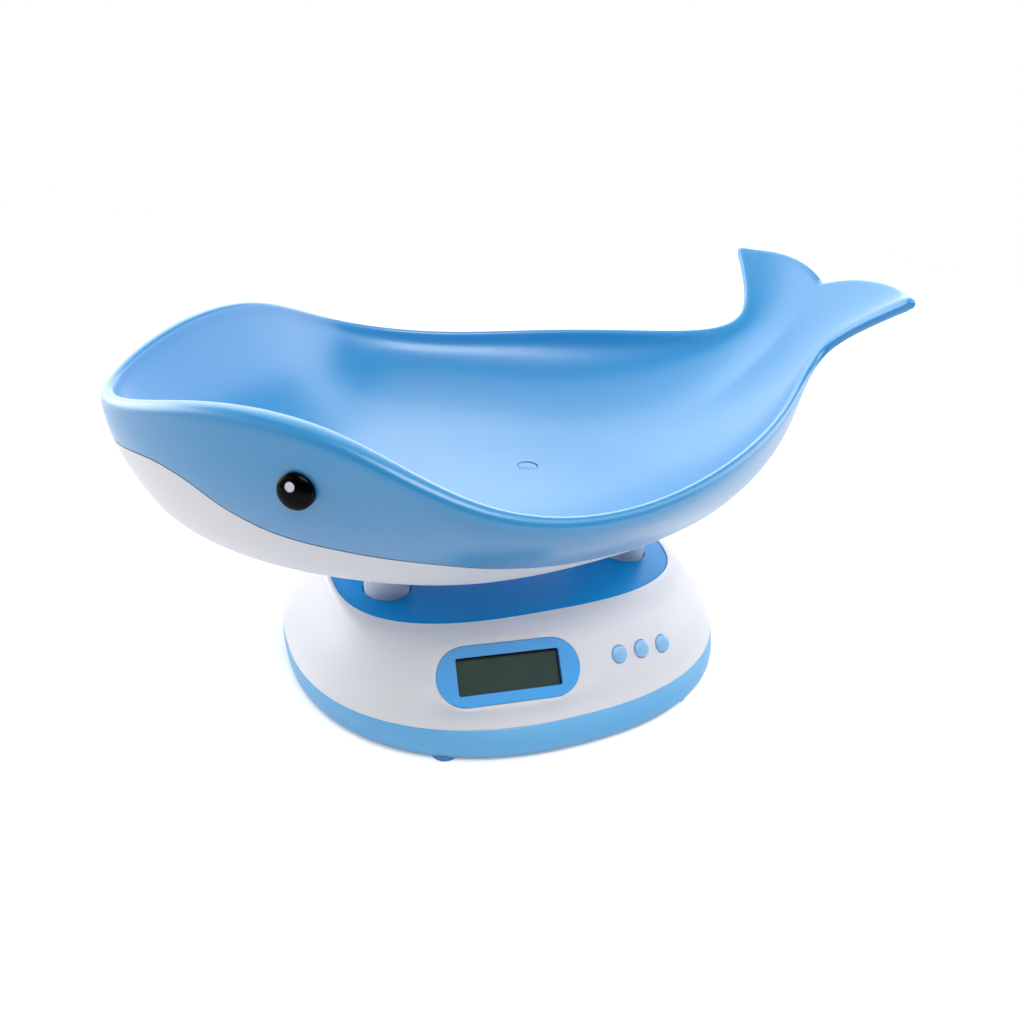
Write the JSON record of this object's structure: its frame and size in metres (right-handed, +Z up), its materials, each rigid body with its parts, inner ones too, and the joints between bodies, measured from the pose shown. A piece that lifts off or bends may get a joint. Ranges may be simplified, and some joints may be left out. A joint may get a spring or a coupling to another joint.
{
  "type": "digital baby weighing scale",
  "caption": "Baby weighing scale: a scooped whale-shaped tray with raised flukes and domed eyes stands on pillars over a rounded base with a sloping display and push buttons.",
  "frame": {"origin": "on the table under the middle of the part's bounding box", "axes": "+X towards the tail flukes, +Z up; the display and the buttons face -Y"},
  "size_m": [0.5258, 0.3658, 0.2859],
  "materials": {
    "tray_blue": "moulded light blue ABS, satin gloss",
    "belly_white": "moulded white ABS",
    "eye_black": "polished black plastic",
    "plug_blue": "pale blue plug",
    "pillar_white": "moulded white plastic tube",
    "frame_steel": "black-painted steel plate",
    "cell_aluminium": "machined aluminium bar",
    "screw_steel": "zinc-plated steel",
    "panel_blue": "moulded deep blue ABS",
    "housing_white": "moulded white ABS",
    "skirt_blue": "moulded blue ABS",
    "foot_blue": "blue rubber pad",
    "bezel_blue": "moulded blue plastic",
    "window_dark": "dark tinted display window",
    "module_grey": "display module",
    "button_blue": "light blue push button",
    "switch_black": "switch housing",
    "board_green": "circuit board",
    "battery_wrap": "plain battery can",
    "contact_steel": "nickel-plated spring steel"
  },
  "bodies": {
    "base": {"load_cell": "cell_aluminium", "cell_base_spacer": "screw_steel", "cell_base_screws": "screw_steel", "top_panel": "panel_blue", "upper_housing": "housing_white", "lower_housing": "skirt_blue", "foot_front_head": "foot_blue", "foot_back_head": "foot_blue", "foot_front_tail": "foot_blue", "foot_back_tail": "foot_blue", "batteries": "battery_wrap", "battery_contacts": "contact_steel", "main_board": "board_green", "button_switches": "switch_black", "button_board": "board_green", "display_bezel": "bezel_blue", "display_window": "window_dark", "lcd_module": "module_grey", "housing_screws": "screw_steel"},
    "platform": {"tray_shell": "tray_blue", "belly_shell": "belly_white", "tray_plug": "plug_blue", "eye_back": "eye_black", "eye_front": "eye_black", "pillar_front_head": "pillar_white", "pillar_back_head": "pillar_white", "pillar_front_tail": "pillar_white", "pillar_back_tail": "pillar_white", "tray_screws": "screw_steel", "pillar_screws": "screw_steel", "platform_frame": "frame_steel", "cell_platform_spacer": "screw_steel", "cell_platform_screws": "screw_steel"},
    "left_button": {"button_left": "button_blue"},
    "middle_button": {"button_middle": "button_blue"},
    "right_button": {"button_right": "button_blue"},
    "battery_door": {"battery_cover": "skirt_blue"}
  },
  "joints": [
    {"name": "platform_slide", "type": "slide", "parent": "base", "child": "platform", "axis": [0, 0, -1], "range_m": [0, 0.0008], "stiffness_N_per_m": 60000, "springref_m": -0.0004, "deforming": ["load_cell"]},
    {"name": "left_button_press", "type": "slide", "parent": "base", "child": "left_button", "axis": [-0.0975, 0.7937, -0.6004], "range_m": [0, 0.0007], "stiffness_N_per_m": 800, "springref_m": -0.0005},
    {"name": "middle_button_press", "type": "slide", "parent": "base", "child": "middle_button", "axis": [-0.0975, 0.7937, -0.6004], "range_m": [0, 0.0007], "stiffness_N_per_m": 800, "springref_m": -0.0005},
    {"name": "right_button_press", "type": "slide", "parent": "base", "child": "right_button", "axis": [-0.0975, 0.7937, -0.6004], "range_m": [0, 0.0007], "stiffness_N_per_m": 800, "springref_m": -0.0005},
    {"name": "battery_cover_hinge", "type": "hinge", "parent": "base", "child": "battery_door", "pos_m": [-0.00017, 0.0929, 0.0038], "axis": [1, 0, 0], "range_deg": [0, 55]}
  ]
}
